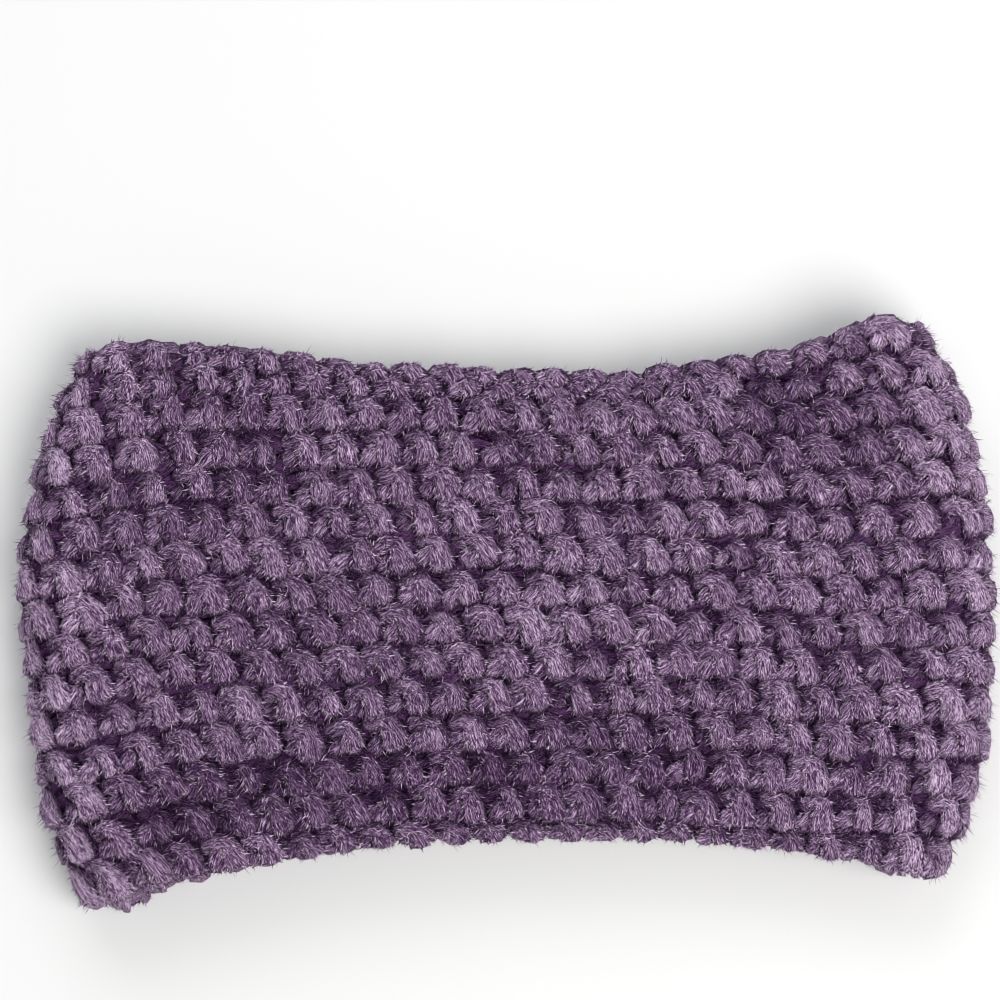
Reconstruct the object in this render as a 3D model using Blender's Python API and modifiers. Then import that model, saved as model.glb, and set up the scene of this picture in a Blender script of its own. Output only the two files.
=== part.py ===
"""Ear warmer headband, crocheted in the round from one thick yarn and lying flat on its side.

The real thing is one piece: a tube of 15 rounds of stitches, flattened so that its two layers
lie on each other and the hollow for the head stays open between them. Metres, +Z up, +X along
the flattened width, +Y across the band.
"""

import math

import bmesh
import bpy
from mathutils import Matrix, Vector

# Driving dimensions
FLAT_WIDTH = 0.245  # across the two folds, at the widest round
BAND_WIDTH = 0.148  # across the band, from its lowest corner to its highest
WALL = 0.0080  # the crocheted wall, over the crests of a round
RIM_GAP = 0.0060  # the hollow between the layers at the two rims
CROWN = 0.0032  # how much more the hollow opens between the rims, which curl down
CURL_POWER = 12  # how close to the rims they curl: a higher power keeps it closer
FOLD_RISE = 0.0010  # how much more it opens beside each fold
FOLD_RISE_SPAN = 0.022  # how far in from a fold that rise reaches
ROUNDS = 15  # rounds of stitches, each a rib with a groove on either side
CURLED_BACK_ROUNDS = 2  # the rounds that the back rim's curl squeezes, as seen from above
GROOVE_DEPTH = 0.0009  # how deep a groove between two rounds is, on each face of the wall
RIM_ROUNDING = 0.0016  # how much each face of the wall is rounded off at the rims
CREST_SHARE = 0.52  # the flat top of a rib, which the band also rests on, of its round

# Faces along the loop: each layer's straight run and each fold's turn
UPPER_STEPS = 24
LOWER_STEPS = 14
FOLD_STEPS = 7

# The rims of both layers from the left fold (-1) to the right one (1), as shares of half the
# band's width from its middle
RIMS = [
    {"along": -1.00, "front": -0.960, "back": 0.895, "low_front": -1.000, "low_back": 0.875},
    {"along": -0.86, "front": -0.910, "back": 0.895, "low_front": -0.935, "low_back": 0.875},
    {"along": -0.65, "front": -0.855, "back": 0.870, "low_front": -0.860, "low_back": 0.850},
    {"along": -0.40, "front": -0.800, "back": 0.815, "low_front": -0.795, "low_back": 0.800},
    {"along": -0.10, "front": -0.765, "back": 0.790, "low_front": -0.755, "low_back": 0.775},
    {"along": 0.30, "front": -0.760, "back": 0.775, "low_front": -0.750, "low_back": 0.760},
    {"along": 0.52, "front": -0.770, "back": 0.820, "low_front": -0.760, "low_back": 0.800},
    {"along": 0.75, "front": -0.810, "back": 0.870, "low_front": -0.800, "low_back": 0.850},
    {"along": 0.88, "front": -0.840, "back": 0.935, "low_front": -0.830, "low_back": 0.910},
    {"along": 1.00, "front": -0.885, "back": 0.990, "low_front": -0.885, "low_back": 0.965},
]

# How much of their even width the rounds that curl down at each rim show from above
CURLS = [
    {"along": -1.00, "front": 1.00, "back": 1.00},
    {"along": -0.82, "front": 0.95, "back": 0.80},
    {"along": -0.55, "front": 0.70, "back": 0.64},
    {"along": -0.20, "front": 0.52, "back": 0.44},
    {"along": 0.40, "front": 0.46, "back": 0.44},
    {"along": 0.70, "front": 0.52, "back": 0.74},
    {"along": 0.88, "front": 0.70, "back": 0.90},
    {"along": 1.00, "front": 1.00, "back": 1.00},
]

# The two folds, as shares of half the flattened width, from the front rim (0) to the back one (1)
FOLDS = [
    {"across": 0.00, "left": 0.875, "right": 0.885},
    {"across": 0.07, "left": 0.925, "right": 0.930},
    {"across": 0.18, "left": 0.955, "right": 0.975},
    {"across": 0.35, "left": 0.965, "right": 0.998},
    {"across": 0.50, "left": 0.992, "right": 1.000},
    {"across": 0.60, "left": 1.000, "right": 0.993},
    {"across": 0.73, "left": 0.980, "right": 0.967},
    {"across": 0.88, "left": 0.932, "right": 0.930},
    {"across": 1.00, "left": 0.860, "right": 0.855},
]

# Dents pressed into the upper layer, and lifts with a negative depth, as shares of DENT_DEPTH
DENT_DEPTH = 0.0024
DENTS = [
    {"along": -0.60, "across": 0.13, "depth": 0.95, "long": 0.42, "wide": 0.070},
    {"along": 0.12, "across": 0.17, "depth": 0.85, "long": 0.34, "wide": 0.075},
    {"along": 0.70, "across": 0.82, "depth": 0.80, "long": 0.20, "wide": 0.080},
    {"along": -0.66, "across": 0.70, "depth": 0.45, "long": 0.22, "wide": 0.090},
    {"along": -0.45, "across": 0.42, "depth": 0.45, "long": 0.24, "wide": 0.080},
    {"along": 0.25, "across": 0.50, "depth": -0.35, "long": 0.35, "wide": 0.140},
    {"along": 0.97, "across": 1.00, "depth": -0.90, "long": 0.16, "wide": 0.110},
    {"along": -0.95, "across": 0.00, "depth": -0.45, "long": 0.20, "wide": 0.050},
]

YARN_COLOUR = (0.135, 0.078, 0.150, 1.0)
YARN_ROUGHNESS = 0.92
SMOOTH_BELOW = math.radians(50)  # faces that meet at less than this are shaded as one


def clear_scene():
    for obj in list(bpy.data.objects):
        bpy.data.objects.remove(obj, do_unlink=True)


def value_at(table, key, column, at):
    """A column of a table, read between its rows on a smooth curve through them."""
    last = len(table) - 1
    row = 0
    while row < last - 1 and at > table[row + 1][key]:
        row += 1
    here, following = table[row], table[row + 1]
    before, after = table[max(row - 1, 0)], table[min(row + 2, last)]
    step = following[key] - here[key]
    share = (at - here[key]) / step
    slope_in = (following[column] - before[column]) / (following[key] - before[key]) * step
    slope_out = (after[column] - here[column]) / (after[key] - here[key]) * step
    return (
        here[column] * (1 + 2 * share) * (1 - share) ** 2
        + following[column] * share**2 * (3 - 2 * share)
        + slope_in * share * (1 - share) ** 2
        + slope_out * share**2 * (share - 1)
    )


def dent_depth(along, across):
    """How far the upper layer is pressed down at a point."""
    depth = 0.0
    for dent in DENTS:
        off_long = (along - dent["along"]) / dent["long"]
        off_wide = (across - dent["across"]) / dent["wide"]
        depth += dent["depth"] * math.exp(-(off_long**2) - off_wide**2)
    return depth * DENT_DEPTH


def gap_at(along, across):
    """The hollow between the layers, crest to crest."""
    crown = CROWN * (1 - (2 * across - 1) ** CURL_POWER)
    from_fold = (1 - abs(along)) * FLAT_WIDTH / 2
    rise = FOLD_RISE * math.exp(-((from_fold / FOLD_RISE_SPAN) ** 2))
    return RIM_GAP + crown + rise - dent_depth(along, across)


def tip_at(side, across):
    """How far out the middle of the wall reaches at a fold, in x, with its sign."""
    column = "left" if side < 0 else "right"
    return side * (value_at(FOLDS, "across", column, across) * FLAT_WIDTH / 2 - WALL / 2)


def fold_radius(side, across):
    """The turn's radius in the middle of the wall: half of a wall and the hollow."""
    return (WALL + gap_at(side, across)) / 2


def straight_x(along, across):
    """The x of a point on a layer's straight run, between the two turns."""
    left = tip_at(-1, across) + fold_radius(-1, across)
    right = tip_at(1, across) - fold_radius(1, across)
    return left + (right - left) * (along + 1) / 2


def rim_y(along, across, lower):
    """The y of a point, between the rims of the upper layer (lower 0) or the lower one (1)."""
    front = value_at(RIMS, "along", "front", along)
    back = value_at(RIMS, "along", "back", along)
    low_front = value_at(RIMS, "along", "low_front", along)
    low_back = value_at(RIMS, "along", "low_back", along)
    front += (low_front - front) * lower
    back += (low_back - back) * lower
    return (front + (back - front) * across) * BAND_WIDTH / 2


def place_across(row, along):
    """Where a row of the upper layer lies, from 0 at the front rim to 1 at the back one. The
    curled rounds at the rims show less than their even width, and the others share the rest."""
    front = value_at(CURLS, "along", "front", along) / ROUNDS
    back = value_at(CURLS, "along", "back", along) * CURLED_BACK_ROUNDS / ROUNDS
    last_even = ROUNDS - CURLED_BACK_ROUNDS
    if row <= 1:
        return front * row
    if row >= last_even:
        return 1 - back * (ROUNDS - row) / CURLED_BACK_ROUNDS
    return front + (1 - back - front) * (row - 1) / (last_even - 1)


def loop_point(run, share, row):
    """A point in the middle of the wall. The loop has four runs: the upper layer from left to
    right, the right fold, the lower layer from right to left and the left fold."""
    low_z = WALL / 2
    across = row / ROUNDS
    if run == "upper":
        along = 2 * share - 1
        across = place_across(row, along)
        z = low_z + WALL + gap_at(along, across)
        return Vector((straight_x(along, across), rim_y(along, across, 0), z))
    if run == "lower":
        along = 1 - 2 * share
        return Vector((straight_x(along, across), rim_y(along, across, 1), low_z))
    side = 1 if run == "right_fold" else -1
    radius = fold_radius(side, across)
    lower = share if side > 0 else 1 - share
    turn = math.pi * lower
    x = tip_at(side, across) - side * radius * (1 - math.sin(turn))
    z = low_z + radius * (1 + math.cos(turn))
    return Vector((x, rim_y(side, across, lower), z))


def loop_stations():
    """The stations of the loop's cross-sections, as a run and a share of it."""
    runs = [
        ("upper", UPPER_STEPS),
        ("right_fold", FOLD_STEPS),
        ("lower", LOWER_STEPS),
        ("left_fold", FOLD_STEPS),
    ]
    stations = [(run, step / steps) for run, steps in runs for step in range(steps)]
    return stations + [("upper", 0.0)]


def rib_rows():
    """The rows across the band, counted in rounds from the front rim, and the wall there: the
    rim, then each rib's two shoulders and the groove after it."""
    rim_wall = WALL - 2 * RIM_ROUNDING
    groove_wall = WALL - 2 * GROOVE_DEPTH
    rows = [(0.0, rim_wall)]
    for rib in range(ROUNDS):
        rows.append((rib + 0.5 - CREST_SHARE / 2, WALL))
        rows.append((rib + 0.5 + CREST_SHARE / 2, WALL))
        rows.append((rib + 1, groove_wall if rib < ROUNDS - 1 else rim_wall))
    return rows


def yarn_material():
    material = bpy.data.materials.new("yarn")
    material.use_nodes = True
    shader = material.node_tree.nodes["Principled BSDF"]
    shader.inputs["Base Color"].default_value = YARN_COLOUR
    shader.inputs["Roughness"].default_value = YARN_ROUGHNESS
    shader.inputs["Metallic"].default_value = 0.0
    return material


def middle_surface(stations, rows):
    """The middle of the wall as an open tube, with each row's wall as a vertex weight."""
    mesh = bpy.data.meshes.new("band")
    bm = bmesh.new()
    around, over = len(stations) - 1, len(rows) - 1
    bmesh.ops.create_grid(bm, x_segments=around, y_segments=over, size=0.5)
    weights = bm.verts.layers.deform.verify()
    for vert in bm.verts:
        run, share = stations[round((vert.co.x + 0.5) * around)]
        row, wall = rows[round((vert.co.y + 0.5) * over)]
        vert.co = loop_point(run, share, row)
        vert[weights][0] = wall / WALL
    bmesh.ops.remove_doubles(bm, verts=bm.verts, dist=WALL / 1000)
    bmesh.ops.recalc_face_normals(bm, faces=bm.faces)
    bm.to_mesh(mesh)
    bm.free()
    return mesh


def centre_on_floor(band):
    """Moves the mesh so that the solid stands on the floor, with its box round the origin."""
    evaluated = band.evaluated_get(bpy.context.evaluated_depsgraph_get())
    corners = [Vector(corner) for corner in evaluated.bound_box]
    low = [min(corner[axis] for corner in corners) for axis in range(3)]
    high = [max(corner[axis] for corner in corners) for axis in range(3)]
    middle = Vector(((low[0] + high[0]) / 2, (low[1] + high[1]) / 2, low[2]))
    band.data.transform(Matrix.Translation(-middle))


def make_band(collection):
    band = bpy.data.objects.new("band", middle_surface(loop_stations(), rib_rows()))
    collection.objects.link(band)
    band.data.materials.append(yarn_material())
    band.vertex_groups.new(name="wall")
    shell = band.modifiers.new("wall", "SOLIDIFY")
    shell.thickness = WALL
    shell.offset = 0.0
    shell.use_rim = True
    shell.use_even_offset = False
    shell.vertex_group = "wall"
    centre_on_floor(band)
    band.data.shade_smooth()
    band.data.set_sharp_from_angle(angle=SMOOTH_BELOW)
    return band


def main():
    clear_scene()
    collection = bpy.data.collections.new("ear_warmer_headband")
    bpy.context.scene.collection.children.link(collection)
    make_band(collection)


main()
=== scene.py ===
# Ear warmer headband, crocheted from one thick dusty purple yarn and lying flat on a white table.
# The CAD gives the place and the size, and this script crochets over the same wall: every round
# is made of real strands with ridges, and loose fibres stand off them.
# Metres, +Z up, +X from the left fold to the right one, +Y from the front rim to the back one.

import math

import bpy
import numpy as np
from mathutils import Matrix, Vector


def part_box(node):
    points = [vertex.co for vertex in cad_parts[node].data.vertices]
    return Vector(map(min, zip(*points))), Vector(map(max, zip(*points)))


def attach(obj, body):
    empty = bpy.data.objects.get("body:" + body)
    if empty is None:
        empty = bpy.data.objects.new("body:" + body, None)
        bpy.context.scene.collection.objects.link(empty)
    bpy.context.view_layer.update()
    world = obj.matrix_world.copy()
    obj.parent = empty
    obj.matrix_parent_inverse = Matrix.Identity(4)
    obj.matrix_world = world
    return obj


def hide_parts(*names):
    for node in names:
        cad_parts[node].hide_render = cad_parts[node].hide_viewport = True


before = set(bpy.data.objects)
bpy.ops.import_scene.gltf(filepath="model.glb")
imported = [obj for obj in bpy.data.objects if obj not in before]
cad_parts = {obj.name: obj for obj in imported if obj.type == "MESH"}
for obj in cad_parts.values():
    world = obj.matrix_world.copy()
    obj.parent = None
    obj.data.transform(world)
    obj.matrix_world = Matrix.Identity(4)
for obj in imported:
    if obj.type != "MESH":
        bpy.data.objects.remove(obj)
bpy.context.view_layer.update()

# The wall that everything is crocheted on. The tables hold shares: "along" runs from the left
# fold (-1) to the right one (1), "across" from the front rim (0) to the back one (1)
wallShape = {
    "wall": 0.0080,
    "rimGap": 0.0060,  # the hollow between the layers at the rims
    "crown": 0.0032,  # how much more it opens between the rims
    "curlPower": 12,
    "foldRise": 0.0010,
    "foldRiseSpan": 0.022,
    "flatWidth": 0.245,
    "bandWidth": 0.148,
    "rounds": 15,
    "curledBackRounds": 2,
    "dentDepth": 0.0024,
    "rims": {
        "along": [-1.0, -0.86, -0.65, -0.40, -0.10, 0.30, 0.52, 0.75, 0.88, 1.0],
        "front": [-0.96, -0.91, -0.855, -0.80, -0.765, -0.76, -0.77, -0.81, -0.84, -0.885],
        "back": [0.895, 0.895, 0.87, 0.815, 0.79, 0.775, 0.82, 0.87, 0.935, 0.99],
        "lowFront": [-1.0, -0.935, -0.86, -0.795, -0.755, -0.75, -0.76, -0.80, -0.83, -0.885],
        "lowBack": [0.875, 0.875, 0.85, 0.80, 0.775, 0.76, 0.80, 0.85, 0.91, 0.965],
    },
    "curls": {
        "along": [-1.0, -0.82, -0.55, -0.20, 0.40, 0.70, 0.88, 1.0],
        "front": [1.0, 0.95, 0.70, 0.52, 0.46, 0.52, 0.70, 1.0],
        "back": [1.0, 0.80, 0.64, 0.44, 0.44, 0.74, 0.90, 1.0],
    },
    "folds": {
        "across": [0.0, 0.07, 0.18, 0.35, 0.50, 0.60, 0.73, 0.88, 1.0],
        "left": [0.865, 0.905, 0.942, 0.966, 0.992, 1.0, 0.978, 0.932, 0.86],
        "right": [0.883, 0.925, 0.970, 0.997, 1.0, 0.994, 0.970, 0.93, 0.855],
    },
    # along, across, depth, how long, how wide
    "dents": [
        (-0.60, 0.13, 0.95, 0.42, 0.070),
        (0.12, 0.17, 0.85, 0.34, 0.075),
        (0.70, 0.82, 0.80, 0.20, 0.080),
        (-0.66, 0.70, 0.45, 0.22, 0.090),
        (-0.45, 0.42, 0.45, 0.24, 0.080),
        (0.25, 0.50, -0.35, 0.35, 0.140),
        (0.97, 1.00, -0.90, 0.16, 0.110),
        (-0.95, 0.00, -0.45, 0.20, 0.050),
        (0.05, 0.00, 0.30, 1.10, 0.080),
    ],
}

# How many stitches lie on each run of the loop, counted from the left end of the upper layer
stitchCount = {"layer": 21, "fold": 3}
stitchesRound = 2 * (stitchCount["layer"] + stitchCount["fold"])


def readTable(table, key, column, at):  # a smooth curve through a column's values
    keys, values = np.array(table[key]), np.array(table[column])
    row = np.clip(np.searchsorted(keys, at, side="right") - 1, 0, len(keys) - 2)
    before, after = np.maximum(row - 1, 0), np.minimum(row + 2, len(keys) - 1)
    step = keys[row + 1] - keys[row]
    share = (at - keys[row]) / step
    slopeIn = (values[row + 1] - values[before]) / (keys[row + 1] - keys[before]) * step
    slopeOut = (values[after] - values[row]) / (keys[after] - keys[row]) * step
    return (
        values[row] * (1 + 2 * share) * (1 - share) ** 2
        + values[row + 1] * share**2 * (3 - 2 * share)
        + slopeIn * share * (1 - share) ** 2
        + slopeOut * share**2 * (share - 1)
    )


def dentShare(along, across):  # how deep in a dent a place is, below 0 on a swelling
    total = 0.0
    for dentAlong, dentAcross, depth, long, wide in wallShape["dents"]:
        far = ((along - dentAlong) / long) ** 2 + ((across - dentAcross) / wide) ** 2
        total = total + depth * np.exp(-far)
    return total


def hollowHeight(along, across):
    shape = wallShape
    crown = shape["crown"] * (1 - (2 * across - 1) ** shape["curlPower"])
    fromFold = (1 - abs(along)) * shape["flatWidth"] / 2
    rise = shape["foldRise"] * np.exp(-((fromFold / shape["foldRiseSpan"]) ** 2))
    return shape["rimGap"] + crown + rise - dentShare(along, across) * shape["dentDepth"]


def foldTip(side, across):
    column = "left" if side < 0 else "right"
    share = readTable(wallShape["folds"], "across", column, across)
    return side * (share * wallShape["flatWidth"] / 2 - wallShape["wall"] / 2)


def foldRadius(side, across):
    return (wallShape["wall"] + hollowHeight(side, across)) / 2


def layerX(along, across):
    left = foldTip(-1, across) + foldRadius(-1, across)
    right = foldTip(1, across) - foldRadius(1, across)
    return left + (right - left) * (along + 1) / 2


def bandY(along, across, lower):
    rims = wallShape["rims"]
    front = readTable(rims, "along", "front", along)
    back = readTable(rims, "along", "back", along)
    front = front + (readTable(rims, "along", "lowFront", along) - front) * lower
    back = back + (readTable(rims, "along", "lowBack", along) - back) * lower
    return (front + (back - front) * across) * wallShape["bandWidth"] / 2


def placeAcross(row, along):  # the rounds that curl down at the rims show less of their width
    rounds, curled = wallShape["rounds"], wallShape["curledBackRounds"]
    front = readTable(wallShape["curls"], "along", "front", along) / rounds
    back = readTable(wallShape["curls"], "along", "back", along) * curled / rounds
    middle = front + (1 - back - front) * (row - 1) / (rounds - curled - 1)
    last = 1 - back * (rounds - row) / curled
    return np.where(row <= 1, front * row, np.where(row >= rounds - curled, last, middle))


# The middle of the wall, by stitches round the band and rounds across it
def middlePoint(stitch, row):
    layer, fold = stitchCount["layer"], stitchCount["fold"]
    stitch = np.mod(stitch, stitchesRound)
    point = np.zeros(np.broadcast(stitch, row).shape + (3,))
    stitch, row = np.broadcast_to(stitch, point.shape[:-1]), np.broadcast_to(row, point.shape[:-1])
    lowZ = wallShape["wall"] / 2
    across = row / wallShape["rounds"]
    upper = stitch < layer
    right = (stitch >= layer) & (stitch < layer + fold)
    lower = (stitch >= layer + fold) & (stitch < 2 * layer + fold)
    left = stitch >= 2 * layer + fold

    along = 2 * stitch[upper] / layer - 1
    place = placeAcross(row[upper], along)
    point[upper, 0] = layerX(along, place)
    point[upper, 1] = bandY(along, place, 0)
    point[upper, 2] = lowZ + wallShape["wall"] + hollowHeight(along, place)

    along = 1 - 2 * (stitch[lower] - layer - fold) / layer
    point[lower, 0] = layerX(along, across[lower])
    point[lower, 1] = bandY(along, across[lower], 1)
    point[lower, 2] = lowZ

    for side, part, start in ((1, right, layer), (-1, left, 2 * layer + fold)):
        share = (stitch[part] - start) / fold
        down = share if side > 0 else 1 - share
        radius = foldRadius(side, across[part])
        point[part, 0] = foldTip(side, across[part]) - side * radius * (1 - np.sin(math.pi * down))
        point[part, 1] = bandY(float(side), across[part], down)
        point[part, 2] = lowZ + radius * (1 + np.cos(math.pi * down))
    return point


def unit(vectors):
    return vectors / np.maximum(np.linalg.norm(vectors, axis=-1, keepdims=True), 1e-12)


# A place in the wall: height is out from its middle, and every strand is laid out this way
def wallPoint(stitch, row, height):
    step = 0.05
    inside = np.clip(row, step, wallShape["rounds"] - step)
    middle = middlePoint(stitch, inside)
    around = (middlePoint(stitch + step, inside) - middlePoint(stitch - step, inside)) / (2 * step)
    over = (middlePoint(stitch, inside + step) - middlePoint(stitch, inside - step)) / (2 * step)
    outward = unit(np.cross(around, over))
    point = middle + over * (row - inside)[..., None] + outward * height[..., None]
    return point, outward, np.linalg.norm(over, axis=-1)


# The wall is laid out round its own origin, and moved to where the CAD solid is
cadLow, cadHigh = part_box("band")
surface = middlePoint(
    np.linspace(0, stitchesRound, 400)[:, None],
    np.linspace(0, wallShape["rounds"], 60)[None, :],
).reshape(-1, 3)
surfaceMiddle = (Vector(surface.min(0)) + Vector(surface.max(0))) / 2
toCad = (cadLow + cadHigh) / 2 - surfaceMiddle
bandShift = np.array([toCad.x, toCad.y, 0.0])
print("wall surface laid out, shifted by", (bandShift * 1000).round(2), "mm")

# A strand is a path of sections through one stitch. Each section has its place along and across,
# in stitches and rounds from the stitch's middle, and height, half width and half thickness in
# millimetres
strands = {
    "longLeg": {  # the fat leg that crosses the face of the stitch
        "sections": [
            (-0.68, 0.14, -1.2, 1.5, 1.3),
            (-0.50, 0.20, 0.2, 2.6, 1.7),
            (-0.30, 0.28, 0.5, 2.8, 1.8),
            (-0.12, 0.27, 0.9, 2.9, 2.0),
            (0.01, 0.10, 1.4, 3.0, 2.2),
            (0.06, -0.12, 1.9, 3.4, 2.3),
            (0.10, -0.34, 1.7, 3.7, 2.2),
            (0.12, -0.54, -0.6, 3.0, 1.6),
        ],
        "twist": 0.7,
        "jitter": 1.0,
        "fuzz": 222,
    },
    "shortLeg": {  # the leg that shows as a small lobe below its left side
        "sections": [
            (-0.18, 0.09, -1.2, 1.2, 1.1),
            (-0.25, -0.05, 0.4, 1.9, 1.4),
            (-0.33, -0.18, 1.2, 2.5, 1.6),
            (-0.40, -0.30, 1.3, 2.6, 1.7),
            (-0.47, -0.41, 0.5, 2.1, 1.5),
            (-0.51, -0.47, -1.3, 1.2, 1.1),
        ],
        "twist": -0.6,
        "jitter": 1.0,
        "fuzz": 75,
    },
    "innerBar": {  # the bar across the back of the stitch, inside the hollow
        "sections": [
            (-0.58, -0.10, -1.0, 1.2, 1.1),
            (-0.30, 0.02, -2.2, 1.6, 1.3),
            (0.02, 0.10, -2.6, 1.8, 1.35),
            (0.34, 0.04, -2.2, 1.6, 1.3),
            (0.60, -0.08, -1.0, 1.2, 1.1),
        ],
        "twist": 0.8,
        "jitter": 0.8,
        "fuzz": 12,
    },
    "innerLeg": {
        "sections": [
            (0.10, -0.64, -0.6, 1.2, 1.1),
            (0.04, -0.44, -1.9, 1.5, 1.3),
            (-0.06, -0.22, -2.2, 1.5, 1.3),
            (-0.12, 0.02, -1.0, 1.3, 1.2),
        ],
        "twist": 0.8,
        "jitter": 0.8,
        "fuzz": 7,
    },
    "rimFront": {  # the chain of the last round's tops, along the front rim
        "sections": [
            (-0.52, -0.14, -1.2, 1.2, 1.2),
            (-0.30, -0.27, 0.1, 1.9, 1.7),
            (-0.02, -0.34, 0.8, 2.3, 2.0),
            (0.24, -0.31, 0.2, 1.9, 1.7),
            (0.46, -0.18, -1.2, 1.2, 1.2),
        ],
        "twist": 0.9,
        "jitter": 0.8,
        "fuzz": 100,
    },
    "rimFrontInner": {
        "sections": [
            (-0.58, -0.24, -0.8, 1.3, 1.3),
            (-0.28, -0.28, -1.6, 1.7, 1.6),
            (0.06, -0.30, -2.0, 1.9, 1.7),
            (0.40, -0.27, -1.5, 1.7, 1.6),
            (0.66, -0.22, -0.6, 1.3, 1.3),
        ],
        "twist": 0.9,
        "jitter": 0.8,
        "fuzz": 30,
    },
    "rimBack": {  # the foundation's knots, one over the back rim at each stitch
        "sections": [
            (-0.26, 0.06, 1.6, 1.4, 1.3),
            (-0.10, 0.23, 1.9, 1.9, 1.6),
            (0.06, 0.31, 0.3, 2.1, 1.7),
            (0.12, 0.25, -1.8, 1.9, 1.6),
            (0.10, 0.10, -2.4, 1.5, 1.3),
        ],
        "twist": 0.8,
        "jitter": 1.2,
        "fuzz": 100,
    },
}
# How finely each is modelled: points round the strand and rings along it. The underside's
# stitches lie on the table and are coarser
fineness = {
    "longLeg": {"shown": (10, 7), "under": (9, 6)},
    "shortLeg": {"shown": (7, 6), "under": (7, 5)},
    "innerBar": {"shown": (5, 4), "under": (4, 4)},
    "innerLeg": {"shown": (5, 3), "under": (4, 3)},
    "rimFront": {"shown": (12, 8), "under": (10, 6)},
    "rimFrontInner": {"shown": (10, 6), "under": (8, 5)},
    "rimBack": {"shown": (12, 8), "under": (10, 6)},
}
stitchLook = {
    "stagger": 0.5,  # how far each round is set off from the one before, in stitches
    "placeJitter": 0.036,  # in stitches and rounds
    "wander": 0.035,  # how far a whole round strays from its line, in rounds
    "heightJitter": 0.00045,
    "sizeJitter": 0.09,
    "cornerShrink": 0.24,  # how much smaller the stitches at the four corners are
    "cornerRounds": 2.0,  # and over how many rounds from the rim
    "toneJitter": 0.45,
    "dentPaintedShade": -2.4,  # painted shade: the stitches in a dent are coloured darker, as less light gets in there
    "foldPaintedLight": 1.6,  # painted light: the stitches at the folds are coloured lighter, as the fuzz there catches more light
    "backTuck": 0.28,  # how far the last round is tucked in from the back rim, in rounds
    "lowTuck": 0.14,  # how far the lower layer's rims are tucked in
    "swellLimit": -0.12,  # painted light: a swelling is coloured lighter by no more than this
    "foldReach": 0.7,  # how far the folds' painted light reaches on the layers, as a share of a half fold
    # painted shade: yarn near the rims is painted as if it stood at least rimOpen high, so lighter
    "rimOpen": 0.0040,
    "rimSpan": 0.8,  # in rounds
    "ridge": 0.11,  # how deep the ridges between fibres are, as a share of the radius
    "ridgeOwn": 0.5,  # how much one ridge differs from the next
    "evenRound": 0.0094,  # a round's width where it isn't squeezed
    "leastSqueeze": 0.62,
    "floor": 0.0004,  # below this height the yarn is pressed flat on the table
}


def smoothRows(rows, count):  # points spread evenly on a smooth curve through the rows
    rows = np.array(rows, float)
    at = np.linspace(0, len(rows) - 1, count)
    index = np.clip(at.astype(int), 0, len(rows) - 2)
    share = (at - index)[:, None]
    before = rows[np.maximum(index - 1, 0)]
    here, following = rows[index], rows[index + 1]
    after = rows[np.minimum(index + 2, len(rows) - 1)]
    return 0.5 * (
        2 * here
        + (following - before) * share
        + (2 * before - 5 * here + 4 * following - after) * share**2
        + (3 * here - before - 3 * following + after) * share**3
    )


def sweep(centre, outward, wide, thick, around, twist, ridge, rng):  # closed tubes along paths
    count, rings = centre.shape[:2]
    ahead = unit(np.gradient(centre, axis=1))
    side = unit(np.cross(ahead, outward))
    up = np.cross(side, ahead)
    length = np.cumsum(np.linalg.norm(np.diff(centre, axis=1, prepend=centre[:, :1]), axis=-1), axis=1)
    angle = np.arange(around) * 2 * math.pi / around
    phase = rng.uniform(0, 2 * math.pi, (count, 1, 1))
    turned = angle[None, None, :] + phase + twist * np.linspace(0, 1, rings)[None, :, None]
    # every second point round the strand is a ridge's top, and each ridge has its own height
    own = rng.normal(0, stitchLook["ridgeOwn"], (count, 3, around))
    spread = np.linspace(0, 2, rings)
    low = np.minimum(spread.astype(int), 1)
    own = own[:, low] + (own[:, low + 1] - own[:, low]) * (spread - low)[None, :, None]
    tops = np.where(np.arange(around) % 2 == 0, 1.0, -1.0)[None, None, :]
    swell = 1 + ridge * (tops + own)
    wide, thick = wide[..., None], thick[..., None]
    across = np.cos(turned) * wide * swell
    above = np.sin(turned) * thick * swell
    points = centre[:, :, None] + side[:, :, None] * across[..., None] + up[:, :, None] * above[..., None]
    # where each point lay in the straight yarn, for fibres that follow the strand
    ownAngle = angle[None, None, :] + phase
    radius = np.broadcast_to((wide + thick) / 2, across.shape)
    yarnStart = rng.uniform(0, 9, (count, 1, 1))  # so that no two strands look the same
    yarn = np.stack(
        [
            np.cos(ownAngle) * radius,
            np.sin(ownAngle) * radius,
            np.broadcast_to(length[..., None] + yarnStart, across.shape),
        ],
        axis=-1,
    )
    return points, yarn


def tubeFaces(count, rings, around, offset):
    start = offset + np.arange(count)[:, None] * rings * around
    ring = start[:, :, None] + np.arange(rings - 1)[None, :, None] * around
    here = np.arange(around)[None, None, :]
    following = (here + 1) % around
    corners = [ring + here, ring + following, ring + around + following, ring + around + here]
    first = start + np.arange(around)[::-1][None, :]
    last = start + (rings - 1) * around + np.arange(around)[None, :]
    return np.stack(corners, axis=-1).reshape(-1, 4), [first, last]


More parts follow.
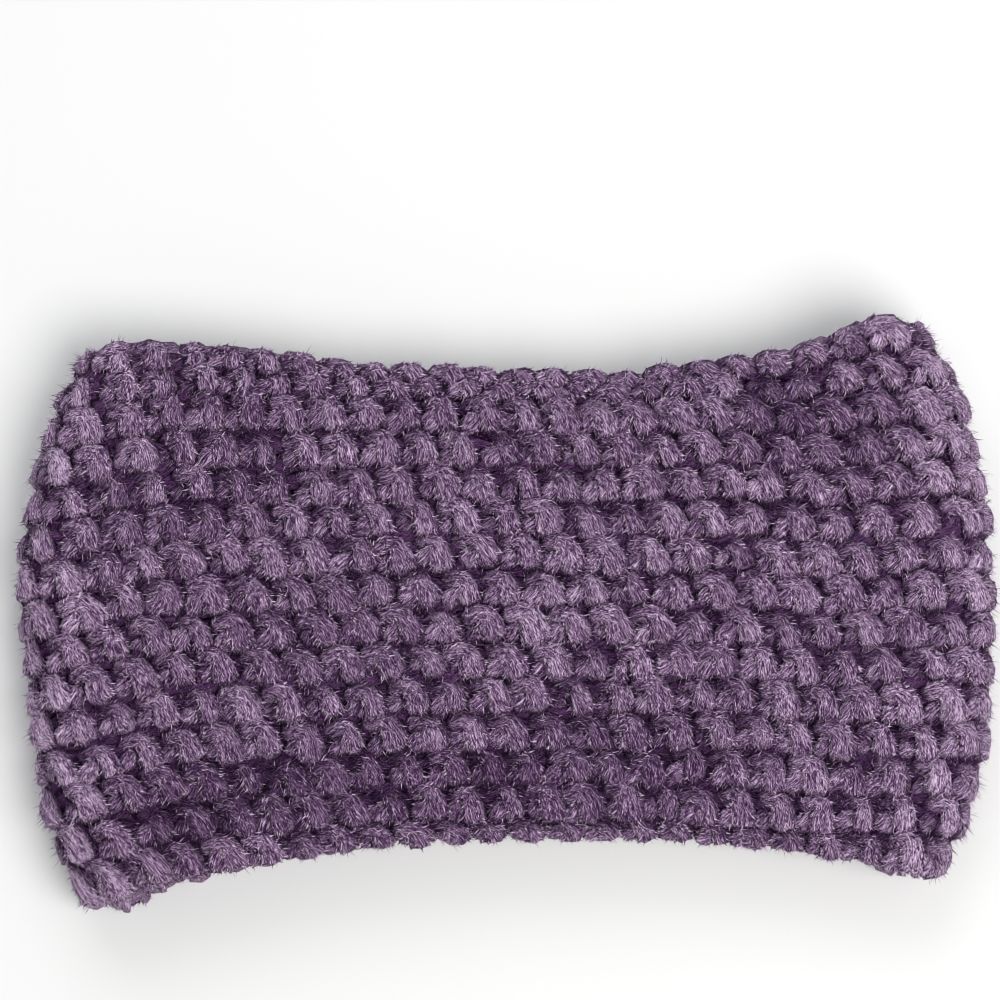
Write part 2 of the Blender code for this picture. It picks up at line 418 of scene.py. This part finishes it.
fuzzLook = {
    "short": {"length": (0.0009, 0.0021), "thick": (0.00013, 0.00022), "sections": [(0.0, 1.0)]},
    "long": {
        "length": (0.0016, 0.0040),
        "thick": (0.000055, 0.000085),
        "sections": [(0.0, 1.0), (0.5, 0.8)],
    },
    "facing": (-0.3, (0.1, 1.5)),  # they stand where the strand faces out, most of them at its sides
    "hairs": {"face": 0.004, "fold": 0.55, "rim": 0.30},  # how many of them are long ones
    "foldBelow": 0.55,  # the wall faces sideways where its direction's height is less than this
    "rootShadeLift": 0.0003,  # a fibre gets the painted shade of yarn this much higher, and less of it towards its tip
    "hairLift": 1.6,  # how much further the long ones stand out of the wall
    "hairTone": 2.5,  # how much lighter they are
    "lieFlat": 0.85,  # how far the fibres at a strand's end lie over the gap instead of diving in it
    "lift": (0.15, 1.60),  # how steeply a fibre leaves the strand
    "stray": 0.8,  # how much it strays to the side
    "fan": 1.3,  # how much the fibres spread out sideways towards a strand's end
    "bend": 0.5,
    "root": 0.00010,  # how deep in the strand it starts
    "rootShare": 0.1,  # and how much of its length is in there
    "from": (0.08, 0.94),  # where on the strand's length they start
    "tone": (1.2, 7.5),  # how much lighter than the strand it is, and how much that varies
    "shadeSlits": {"from": 0.45, "share": 0.45, "tone": -14.0},  # painted shade: dark fibres towards a strand's end, for the shaded gaps between fibre clumps
    "shadeBeneathFibres": -2.0,  # painted shade: the strand between its fibres is coloured darker
    "underShare": {"face": 0.12, "rim": 0.6},  # how many of the fibres the underside's strands keep
}


def makeFibres(look, base, ahead, outward, length, thick, bend):  # thin, closed and three-sided
    side = unit(np.cross(ahead, outward))
    up = unit(np.cross(side, ahead))
    rings = []
    for share, width in look["sections"]:
        centre = base + ahead * (length * share)[:, None] - outward * (bend * length * share**2)[:, None]
        for turn in (0, 2 * math.pi / 3, 4 * math.pi / 3):
            rings.append(centre + (side * math.cos(turn) + up * math.sin(turn)) * (thick * width)[:, None])
    rings.append(base + ahead * length[:, None] - outward * (bend * length)[:, None])
    return np.stack(rings, axis=1)


def fibreFaces(points):
    faces = [(2, 1, 0)]
    for ring in range((points - 1) // 3 - 1):
        for corner in range(3):
            here, following = 3 * ring + corner, 3 * ring + (corner + 1) % 3
            faces += [(here, following, following + 3), (here, following + 3, here + 3)]
    last = points - 4
    faces += [(last + corner, last + (corner + 1) % 3, points - 1) for corner in range(3)]
    return np.array(faces)


class MeshParts:  # gathers tubes and fibres and makes one object of them
    def __init__(self):
        self.points, self.yarn, self.tone, self.height = [], [], [], []
        self.quads, self.caps, self.total = [], [], 0

    def addFibres(self, points, yarn, tone, height):
        count, each = points.shape[:2]
        faces = self.total + np.arange(count)[:, None, None] * each + fibreFaces(each)[None]
        self.points.append(points.reshape(-1, 3))
        self.yarn.append(np.repeat(yarn, each, axis=0))
        self.tone.append(np.repeat(tone, each))
        self.height.append(height.reshape(-1))
        self.caps.append(faces.reshape(-1, 3))
        self.total += count * each

    def addTubes(self, points, yarn, tone, height):
        count, rings, around = points.shape[:3]
        self.height.append(height.reshape(-1))
        quads, caps = tubeFaces(count, rings, around, self.total)
        self.points.append(points.reshape(-1, 3))
        self.yarn.append(yarn.reshape(-1, 3))
        self.tone.append(np.broadcast_to(tone, points.shape[:3]).reshape(-1))
        self.quads.append(quads)
        self.caps += caps
        self.total += count * rings * around

    def makeObject(self, name, material):
        quads = np.concatenate(self.quads)
        loops = [quads.reshape(-1)] + [cap.reshape(-1) for cap in self.caps]
        sizes = [np.full(len(quads), 4)] + [np.full(len(cap), cap.shape[1]) for cap in self.caps]
        loops, sizes = np.concatenate(loops), np.concatenate(sizes)
        mesh = bpy.data.meshes.new(name)
        mesh.vertices.add(self.total)
        points = np.concatenate(self.points) + bandShift
        floor = stitchLook["floor"]
        pressed = floor * np.exp(points[:, 2] / floor - 1)
        points[:, 2] = np.where(points[:, 2] < floor, pressed, points[:, 2])
        mesh.vertices.foreach_set("co", points.reshape(-1).astype(np.float32))
        mesh.loops.add(len(loops))
        mesh.loops.foreach_set("vertex_index", loops.astype(np.int32))
        mesh.polygons.add(len(sizes))
        mesh.polygons.foreach_set("loop_start", (np.cumsum(sizes) - sizes).astype(np.int32))
        mesh.update(calc_edges=True)
        mesh.validate()
        yarn = mesh.attributes.new("yarnSpace", "FLOAT_VECTOR", "POINT")
        yarn.data.foreach_set("vector", np.concatenate(self.yarn).reshape(-1).astype(np.float32))
        # random tone together with the painted light and shade of dents, folds, strand bases and dark
        # fibres
        tone = mesh.attributes.new("yarnToneAndPaintedShading", "FLOAT", "POINT")
        tone.data.foreach_set("value", np.concatenate(self.tone).astype(np.float32))
        # height out of the wall's middle in millimetres, which sets the painted shade
        height = mesh.attributes.new("yarnHeight", "FLOAT", "POINT")
        height.data.foreach_set("value", (np.concatenate(self.height) * 1000).astype(np.float32))
        mesh.shade_smooth()
        mesh.materials.append(material)
        piece = bpy.data.objects.new(name, mesh)
        bpy.context.scene.collection.objects.link(piece)
        return piece


def wander(stitch, number):  # the same for every strand of a round
    waveCounts = (3, 8, 17)
    phases = np.random.default_rng(900 + number).uniform(0, 2 * math.pi, len(waveCounts))
    turn = 2 * math.pi * stitch / stitchesRound
    waves = (math.sqrt(0.5) * np.sin(count * turn + phase) for count, phase in zip(waveCounts, phases))
    return stitchLook["wander"] * sum(waves)


def rimOpening(across):  # the yarn at the rims is in the open, so it gets no more painted shade than yarn standing this high
    fromRim = np.minimum(across, wallShape["rounds"] - across)
    return stitchLook["rimOpen"] * np.clip(1 - fromRim / stitchLook["rimSpan"], 0, 1)


def layStrand(parts, kind, stitches, row, rng):
    strand = strands[kind]
    layer, fold = stitchCount["layer"], stitchCount["fold"]
    under = (stitches > layer + fold + 0.5) & (stitches < 2 * layer + fold - 0.5)
    for part, level in ((~under, "shown"), (under, "under")):
        if not part.any():
            continue
        around, rings = fineness[kind][level]
        rows = np.repeat(smoothRows(strand["sections"], rings)[None], part.sum(), axis=0)
        look = stitchLook
        count = part.sum()
        jitter = strand["jitter"]
        # each stitch leans, sits and swells a little differently
        start = rng.normal(0, look["placeJitter"] * jitter, (count, 1, 2))
        lean = rng.normal(0, look["placeJitter"] * jitter, (count, 1, 2))
        away = np.linspace(-1, 1, rings)[None, :, None]
        rows[:, :, :2] += start + lean * away
        rows[:, :, 2] += rng.normal(0, look["heightJitter"] * 1000 * jitter, (count, 1))
        size = 1 + rng.normal(0, look["sizeJitter"], (count, 1))
        fromLeft = np.mod(stitches[part] + fold / 2, stitchesRound) - fold / 2
        fromMiddle = abs(fromLeft - layer / 2)
        rimShare = max(1 - min(row, wallShape["rounds"] - row) / look["cornerRounds"], 0)
        cornerShare = rimShare * np.clip((fromMiddle - layer / 2) / fold + 1, 0, 1)
        size = size * (1 - look["cornerShrink"] * cornerShare[:, None])
        stitch = stitches[part][:, None] + rows[:, :, 0]
        across = row + rows[:, :, 1] + wander(stitches[part][:, None], int(row))
        inLast = np.clip(1 - (wallShape["rounds"] - across), 0, 1)
        across = across - look["backTuck"] * inLast
        if level == "under":
            across = across + look["lowTuck"] * (np.clip(1 - across, 0, 1) - inLast)
        centre, outward, roundWidth = wallPoint(stitch, across, rows[:, :, 2] / 1000)
        squeeze = np.sqrt(np.clip(roundWidth / look["evenRound"], look["leastSqueeze"], 1.0))
        wide = rows[:, :, 3] / 1000 * size * squeeze
        thick = rows[:, :, 4] / 1000 * size * squeeze
        points, yarn = sweep(centre, outward, wide, thick, around, strand["twist"], look["ridge"], rng)
        # painted shade in the dents and painted light at the folds, on top of each stitch's random tone
        along = np.clip(2 * fromLeft / layer - 1, -1, 1)
        dentAmount = np.maximum(dentShare(along, row / wallShape["rounds"]), look["swellLimit"])
        dentAmount = dentAmount * (fromLeft < layer + fold / 2)
        folded = np.clip((2 * fromMiddle - layer) / fold + look["foldReach"], 0, 1)
        paintedLightAndShade = look["dentPaintedShade"] * dentAmount + look["foldPaintedLight"] * folded
        tone = rng.normal(0, look["toneJitter"], (count, 1, 1)) + paintedLightAndShade[:, None, None]
        # how far out of the wall each point stands, which sets its painted shade
        onStrand = ((points - centre[:, :, None]) * outward[:, :, None]).sum(-1)
        height = rows[:, :, 2][..., None] / 1000 + onStrand
        height = np.maximum(abs(height), rimOpening(across)[..., None])
        # painted shade: the strand is coloured darker between its fibres
        parts.addTubes(points, yarn, tone + fuzzLook["shadeBeneathFibres"], height)
        onRim = kind.startswith("rim")
        underShare = fuzzLook["underShare"]["rim" if onRim else "face"]
        perStrand = strand["fuzz"] * (1 if level == "shown" else underShare)
        if perStrand:
            layFuzz(parts, points, tone, height, centre, outward, int(perStrand * count), rng, onRim)


def layFuzz(parts, points, tone, height, centre, outward, total, rng, onRim=False):
    count, rings, around = points.shape[:3]
    tries = 3 * total  # some of the places face into the wall and are left out
    which = rng.integers(0, count, tries)
    place = rng.uniform(*fuzzLook["from"], tries) * (rings - 1)
    ring = place.astype(int)
    spot = rng.integers(0, around, tries)
    along = (place - ring)[:, None]
    about = rng.uniform(0, 1, (tries, 1))

    def spread(values):  # between four points of the strand's surface
        beside = (spot + 1) % around
        near = values[which, ring, spot] * (1 - about) + values[which, ring, beside] * about
        far = values[which, ring + 1, spot] * (1 - about) + values[which, ring + 1, beside] * about
        return near, far

    near, far = spread(points)
    base = near * (1 - along) + far * along
    ahead = unit(far - near)
    middle = centre[which, ring] * (1 - along) + centre[which, ring + 1] * along
    away = unit(base - middle)
    out = outward[which, ring]
    facing = (away * out).sum(-1)
    least, most = fuzzLook["facing"]
    seen = (facing > least) & (facing < rng.uniform(*most, tries))
    low, high = spread(height[..., None])
    rootHeight = (low * (1 - along) + high * along)[:, 0]
    progress = place / (rings - 1)
    kept = (value[seen][:total] for value in (which, base, ahead, away, out, rootHeight, progress))
    which, base, ahead, away, out, rootHeight, progress = kept
    amount = len(base)
    diving = np.minimum((ahead * out).sum(-1), 0) * fuzzLook["lieFlat"]
    ahead = unit(ahead - out * diving[:, None])
    side = unit(np.cross(ahead, out))
    hairs = fuzzLook["hairs"]
    sideways = abs(out[:, 2]) < fuzzLook["foldBelow"]
    hairShare = np.where(sideways, hairs["fold"], hairs["rim"] if onRim else hairs["face"])
    long = rng.uniform(0, 1, amount) < hairShare
    lift = rng.uniform(*fuzzLook["lift"], amount)
    stray = rng.normal(0, fuzzLook["stray"], amount) + fuzzLook["fan"] * progress * (away * side).sum(-1)
    standing = np.where(long, fuzzLook["hairLift"], 0)
    direction = unit(ahead + away * lift[:, None] + side * stray[:, None] + out * standing[:, None])
    for kind, own in (("short", ~long), ("long", long)):
        look = fuzzLook[kind]
        many = own.sum()
        length = rng.uniform(*look["length"], many)
        thick = rng.uniform(*look["thick"], many)
        inside = direction[own] * (length * fuzzLook["rootShare"])[:, None]
        start = base[own] - away[own] * fuzzLook["root"] - inside
        bend = rng.uniform(0, fuzzLook["bend"], many)
        shape = makeFibres(look, start, direction[own], away[own], length, thick, bend)
        shade = tone[which[own], 0, 0] + rng.normal(*fuzzLook["tone"], many)
        # painted shade: some fibres towards a strand's end are dark, for the shaded gaps between clumps
        shadeSlits = fuzzLook["shadeSlits"]
        dark = (rng.uniform(0, 1, many) < shadeSlits["share"]) & (progress[own] > shadeSlits["from"])
        shade = shade + shadeSlits["tone"] * dark
        if kind == "long":
            shade = shade + fuzzLook["hairTone"]
        # the fibre's height for the painted shade, higher towards its tip
        raised = ((shape - base[own][:, None]) * (out + away)[own][:, None]).sum(-1)
        raised = raised + fuzzLook["rootShadeLift"]
        yarn = rng.uniform(0, 0.05, (many, 3))  # each has its own spot in the yarn's pattern
        parts.addFibres(shape, yarn, shade, rootHeight[own][:, None] + raised)


# Shader group: wool fibres that run along the yarn and cross each other. It reads where each
# point lay in the straight yarn, so that the fibres follow every strand, and paints shade by height
def makeFibreGroup():
    group = bpy.data.node_groups.new("yarnFibres", "ShaderNodeTree")
    for name, kind, default in (
        ("Fibre Width", "NodeSocketFloat", 0.0002),
        ("Fibre Length", "NodeSocketFloat", 0.0015),
        ("Crossing", "NodeSocketFloat", 200.0),
        ("Dark Below", "NodeSocketFloat", 0.3),
        ("Light Above", "NodeSocketFloat", 0.8),
        ("Light Colour", "NodeSocketColor", (0.5, 0.4, 0.5, 1)),
        ("Middle Colour", "NodeSocketColor", (0.3, 0.2, 0.3, 1)),
        ("Dark Colour", "NodeSocketColor", (0.1, 0.05, 0.1, 1)),
        ("Deep Painted Shade", "NodeSocketColor", (0.3, 0.2, 0.34, 1)),
        ("Deep Below", "NodeSocketFloat", 1.0),
        ("Open Above", "NodeSocketFloat", 3.4),
    ):
        socket = group.interface.new_socket(name, in_out="INPUT", socket_type=kind)
        socket.default_value = default
    group.interface.new_socket("Colour", in_out="OUTPUT", socket_type="NodeSocketColor")
    group.interface.new_socket("Height", in_out="OUTPUT", socket_type="NodeSocketFloat")
    nodes, links = group.nodes, group.links
    given = nodes.new("NodeGroupInput")
    result = nodes.new("NodeGroupOutput")

    def attribute(name, output):
        node = nodes.new("ShaderNodeAttribute")
        node.attribute_name = name
        return node.outputs[output]

    def calculate(operation, *values):
        node = nodes.new("ShaderNodeMath")
        node.operation = operation
        for socket, value in zip(node.inputs, values):
            if isinstance(value, (int, float)):
                socket.default_value = value
            else:
                links.new(value, socket)
        return node.outputs[0]

    def stretched(vector):  # the yarn's space in fibre widths and lengths
        split = nodes.new("ShaderNodeSeparateXYZ")
        links.new(vector, split.inputs[0])
        joined = nodes.new("ShaderNodeCombineXYZ")
        for axis, size in (("X", "Fibre Width"), ("Y", "Fibre Width"), ("Z", "Fibre Length")):
            links.new(calculate("DIVIDE", split.outputs[axis], given.outputs[size]), joined.inputs[axis])
        return joined.outputs[0]

    def noise(vector, scale, detail, distortion):
        node = nodes.new("ShaderNodeTexNoise")
        links.new(vector, node.inputs["Vector"])
        node.inputs["Scale"].default_value = scale
        node.inputs["Detail"].default_value = detail
        node.inputs["Roughness"].default_value = 0.62
        node.inputs["Distortion"].default_value = distortion
        return node.outputs["Fac"]

    def crossing(turn, scale):  # fine lines that wind round the yarn, to the left or to the right
        split = nodes.new("ShaderNodeSeparateXYZ")
        links.new(place, split.inputs[0])
        wound = calculate("MULTIPLY", split.outputs["Z"], given.outputs["Crossing"])
        angle = calculate("MULTIPLY", wound, turn)
        turned = nodes.new("ShaderNodeVectorRotate")
        turned.rotation_type = "Z_AXIS"
        links.new(place, turned.inputs["Vector"])
        links.new(angle, turned.inputs["Angle"])
        value = noise(stretched(turned.outputs[0]), scale, 1.0, 0.5)
        off = calculate("ABSOLUTE", calculate("SUBTRACT", value, 0.5))
        line = nodes.new("ShaderNodeMapRange")
        line.inputs["From Max"].default_value = 0.05
        line.inputs["To Min"].default_value = 1.0
        line.inputs["To Max"].default_value = 0.0
        links.new(off, line.inputs["Value"])
        return line.outputs[0]

    def mix(factor, first, second, blend="MIX"):
        node = nodes.new("ShaderNodeMix")
        node.data_type = "RGBA"
        node.blend_type = blend
        sockets = node.inputs["Factor"], node.inputs[6], node.inputs[7]
        for socket, value in zip(sockets, (factor, first, second)):
            if isinstance(value, (float, tuple)):
                socket.default_value = value
            else:
                links.new(value, socket)
        return node.outputs[2]

    def share(value, low, high, smooth=False):
        node = nodes.new("ShaderNodeMapRange")
        node.interpolation_type = "SMOOTHSTEP" if smooth else "LINEAR"
        sockets = node.inputs["Value"], node.inputs["From Min"], node.inputs["From Max"]
        for socket, wanted in zip(sockets, (value, low, high)):
            if isinstance(wanted, float):
                socket.default_value = wanted
            else:
                links.new(wanted, socket)
        return node.outputs[0]

    place = attribute("yarnSpace", "Vector")
    straight = stretched(place)
    fine = noise(straight, 1.0, 2.5, 0.7)
    broad = noise(straight, 0.28, 1.5, 0.0)
    lines = calculate("MAXIMUM", crossing(1.0, 0.62), crossing(-1.0, 0.7))
    gaps = calculate("MAXIMUM", crossing(0.7, 0.8), crossing(-0.6, 0.55))
    crossed = calculate("MULTIPLY", calculate("SUBTRACT", lines, gaps), 0.16)
    fibres = calculate("ADD", calculate("MULTIPLY", fine, 0.8), crossed)
    height = calculate("ADD", fibres, calculate("MULTIPLY", broad, 0.2))
    toned = calculate("MULTIPLY_ADD", attribute("yarnToneAndPaintedShading", "Fac"), 0.03, height)
    light = share(toned, given.outputs["Dark Below"], given.outputs["Light Above"])
    low = mix(share(light, 0.0, 0.5), given.outputs["Dark Colour"], given.outputs["Middle Colour"])
    colour = mix(share(light, 0.5, 1.0), low, given.outputs["Light Colour"])
    # painted shade: deep in the wall the yarn's colour is darkened, as it is in its own shade there
    above = attribute("yarnHeight", "Fac")
    shown = share(above, given.outputs["Deep Below"], given.outputs["Open Above"], smooth=True)
    paintedShade = mix(shown, given.outputs["Deep Painted Shade"], (1.0, 1.0, 1.0, 1.0))
    links.new(mix(1.0, colour, paintedShade, "MULTIPLY"), result.inputs["Colour"])
    links.new(height, result.inputs["Height"])
    return group


fibreGroup = makeFibreGroup()


def makeYarnMaterial(name, look):
    material = bpy.data.materials.new(name)
    material.use_nodes = True
    nodes, links = material.node_tree.nodes, material.node_tree.links
    shader = nodes["Principled BSDF"]
    fibres = nodes.new("ShaderNodeGroup")
    fibres.node_tree = fibreGroup
    fibres.inputs["Fibre Width"].default_value = look["fibreWidth"]
    fibres.inputs["Fibre Length"].default_value = look["fibreLength"]
    fibres.inputs["Crossing"].default_value = look["crossing"]
    fibres.inputs["Dark Below"].default_value = look["darkBelow"]
    fibres.inputs["Light Above"].default_value = look["lightAbove"]
    fibres.inputs["Light Colour"].default_value = look["light"] + (1,)
    fibres.inputs["Middle Colour"].default_value = look["middle"] + (1,)
    fibres.inputs["Dark Colour"].default_value = look["dark"] + (1,)
    fibres.inputs["Deep Painted Shade"].default_value = look["deepPaintedShade"] + (1,)
    fibres.inputs["Deep Below"].default_value = look["deepBelow"]
    fibres.inputs["Open Above"].default_value = look["openAbove"]
    links.new(fibres.outputs["Colour"], shader.inputs["Base Color"])
    bump = nodes.new("ShaderNodeBump")
    bump.inputs["Strength"].default_value = look["bump"]
    bump.inputs["Distance"].default_value = look["bumpDepth"]
    links.new(fibres.outputs["Height"], bump.inputs["Height"])
    links.new(bump.outputs["Normal"], shader.inputs["Normal"])
    shader.inputs["Roughness"].default_value = look["roughness"]
    shader.inputs["Specular IOR Level"].default_value = look["specular"]
    shader.inputs["Sheen Weight"].default_value = look["sheen"]
    shader.inputs["Sheen Roughness"].default_value = look["sheenRoughness"]
    shader.inputs["Sheen Tint"].default_value = look["light"] + (1,)
    return material


yarnLook = {
    "light": (0.80, 0.64, 0.835),
    "middle": (0.275, 0.161, 0.302),
    "dark": (0.034, 0.010, 0.046),
    "deepBelow": 0.4,  # painted shade is full below this and gone above openAbove, in millimetres from the wall's middle
    "openAbove": 3.55,
    "deepPaintedShade": (0.115, 0.038, 0.142),  # painted shade: what's left of its colour deep in the wall
    "fibreWidth": 0.00019,
    "fibreLength": 0.0015,
    "crossing": 220.0,  # how fast crossing fibres wind round the yarn, radians a metre
    "darkBelow": 0.37,
    "lightAbove": 0.63,
    "bump": 1.0,
    "bumpDepth": 0.0004,
    "roughness": 0.62,
    "specular": 0.04,
    "sheen": 0.04,
    "sheenRoughness": 0.4,
}
yarnMaterial = makeYarnMaterial("dustyPurpleYarn", yarnLook)


# The rounds, from the front rim to the back one
def makeRounds():
    pieces = []
    rounds = wallShape["rounds"]
    for number in range(rounds):
        rng = np.random.default_rng(100 + number)
        parts = MeshParts()
        stitches = (np.arange(stitchesRound) + stitchLook["stagger"] * (number % 2)) % stitchesRound
        for kind in ("longLeg", "shortLeg", "innerBar", "innerLeg"):
            layStrand(parts, kind, stitches, number + 0.5, rng)
        if number == 0:
            layStrand(parts, "rimFront", stitches, 0.5, rng)
            layStrand(parts, "rimFrontInner", stitches, 0.5, rng)
        if number == rounds - 1:
            layStrand(parts, "rimBack", stitches, rounds - 0.5, rng)
        pieces.append(parts.makeObject(f"round_{number + 1:02d}", yarnMaterial))
    return pieces


# The yarn that carries each round's tops inside the wall, a closed ring at every round's edge
coreLook = {
    "height": -0.0003,
    "heightWave": 0.0006,
    "rowWave": 0.13,  # in rounds
    "wide": 0.0029,
    "thick": 0.0017,
    "around": 5,
    "perStitch": 3,
    "squeeze": (0.5, 1.1),  # how far it follows a round that is narrower or wider
    "twist": 60.0,  # over the whole ring
    "ridge": 0.10,
    "fuzz": 12,  # fibres a stitch
}


def makeCore():
    parts = MeshParts()
    look = coreLook
    rounds = wallShape["rounds"]
    rng = np.random.default_rng(7)
    stitch = np.arange(stitchesRound * look["perStitch"] + 1) / look["perStitch"]
    for half in range(2 * rounds - 1):
        turn = 2 * math.pi * (stitch + 0.5 * (half // 2))
        row = (half + 1) / 2 + look["rowWave"] * np.sin(turn)
        height = look["height"] + look["heightWave"] * np.cos(turn)
        centre, outward, roundWidth = wallPoint(stitch, row, height)
        squeeze = np.clip(roundWidth / stitchLook["evenRound"], *look["squeeze"])
        wide, thick = look["wide"] * squeeze, look["thick"] * np.sqrt(squeeze)
        centre, outward = centre[None], outward[None]
        wide, thick = wide[None], thick[None]
        around, twist, ridge = look["around"], look["twist"], look["ridge"]
        points, yarn = sweep(centre, outward, wide, thick, around, twist, ridge, rng)
        tone = rng.normal(0, 1, (1, 1, 1))
        # the core's height, which sets its painted shade, lifted near the rims
        depth = np.maximum(look["thick"] / 2, rimOpening(row))[None, :, None]
        depth = np.broadcast_to(depth, points.shape[:3])
        parts.addTubes(points, yarn, tone, depth)
        layFuzz(parts, points, tone, depth, centre, outward, look["fuzz"] * stitchesRound, rng)
    return parts.makeObject("round_edges", yarnMaterial)


rounds = makeRounds()
print("crocheted", len(rounds), "rounds of", stitchesRound, "stitches")
core = makeCore()
print("laid the yarn inside the wall")
triangles = sum(len(face.vertices) - 2 for piece in rounds + [core] for face in piece.data.polygons)
print("triangles:", triangles)

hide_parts("band")
for piece in rounds + [core]:
    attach(piece, "root")

# Table, light and camera
setting = {
    "pixel": 0.00025,  # metres a pixel of the photograph's 1000 x 1000 frame, at the band
    "offCentre": (-6, 108),  # pixels from the band's middle to the frame's, right and up
    "elevation": 84,
    "distance": 0.75,
    "aimHeight": 0.013,
    "tableColour": (0.69, 0.695, 0.69),
    "skyColour": (0.97, 0.98, 1.0),
    "skyStrength": 0.55,
    "filterWidth": 0.9,  # crisp fibres
    # where it is, where it shines, size, power, colour
    "lamps": {
        "keyLight": ((0.45, -0.35, 1.0), (0, 0, 0), 0.8, 12, (1.0, 0.98, 0.96)),
        "fillLight": ((-0.25, 1.1, 0.8), (0, 0.25, 0), 1.2, 9, (0.97, 0.98, 1.0)),
    },
}


def addArea(name, place, aim, size, power, colour):
    data = bpy.data.lights.new(name, "AREA")
    data.shape = "DISK"
    data.size = size
    data.energy = power
    data.color = colour
    lamp = bpy.data.objects.new(name, data)
    lamp.location = place
    lamp.rotation_euler = (Vector(aim) - Vector(place)).to_track_quat("-Z", "Y").to_euler()
    bpy.context.scene.collection.objects.link(lamp)


def makeTable():
    bpy.ops.mesh.primitive_plane_add(size=6)
    table = bpy.context.object
    table.name = "table"
    material = bpy.data.materials.new("tableWhite")
    material.use_nodes = True
    shader = material.node_tree.nodes["Principled BSDF"]
    shader.inputs["Base Color"].default_value = setting["tableColour"] + (1,)
    shader.inputs["Roughness"].default_value = 0.75
    table.data.materials.append(material)


def makeCamera():
    aim = Vector((setting["offCentre"][0], setting["offCentre"][1], 0)) * setting["pixel"]
    aim.z = setting["aimHeight"]
    elevation = math.radians(setting["elevation"])
    away = Vector((0, -math.cos(elevation), math.sin(elevation)))
    data = bpy.data.cameras.new("camera")
    data.sensor_width = 36
    data.lens = data.sensor_width * setting["distance"] / (1000 * setting["pixel"])
    camera = bpy.data.objects.new("camera", data)
    camera.location = aim + away * setting["distance"]
    camera.rotation_euler = (-away).to_track_quat("-Z", "Y").to_euler()
    bpy.context.scene.collection.objects.link(camera)
    bpy.context.scene.camera = camera


def makeLight():
    world = bpy.data.worlds.new("studio")
    world.use_nodes = True
    background = world.node_tree.nodes["Background"]
    background.inputs["Color"].default_value = setting["skyColour"] + (1,)
    background.inputs["Strength"].default_value = setting["skyStrength"]
    bpy.context.scene.world = world
    for name, lamp in setting["lamps"].items():
        addArea(name, *lamp)
    bpy.context.scene.cycles.filter_width = setting["filterWidth"]
    bpy.context.scene.view_settings.view_transform = "Standard"
    bpy.context.scene.view_settings.look = "None"


makeTable()
makeLight()
makeCamera()
print("table, light and camera set")
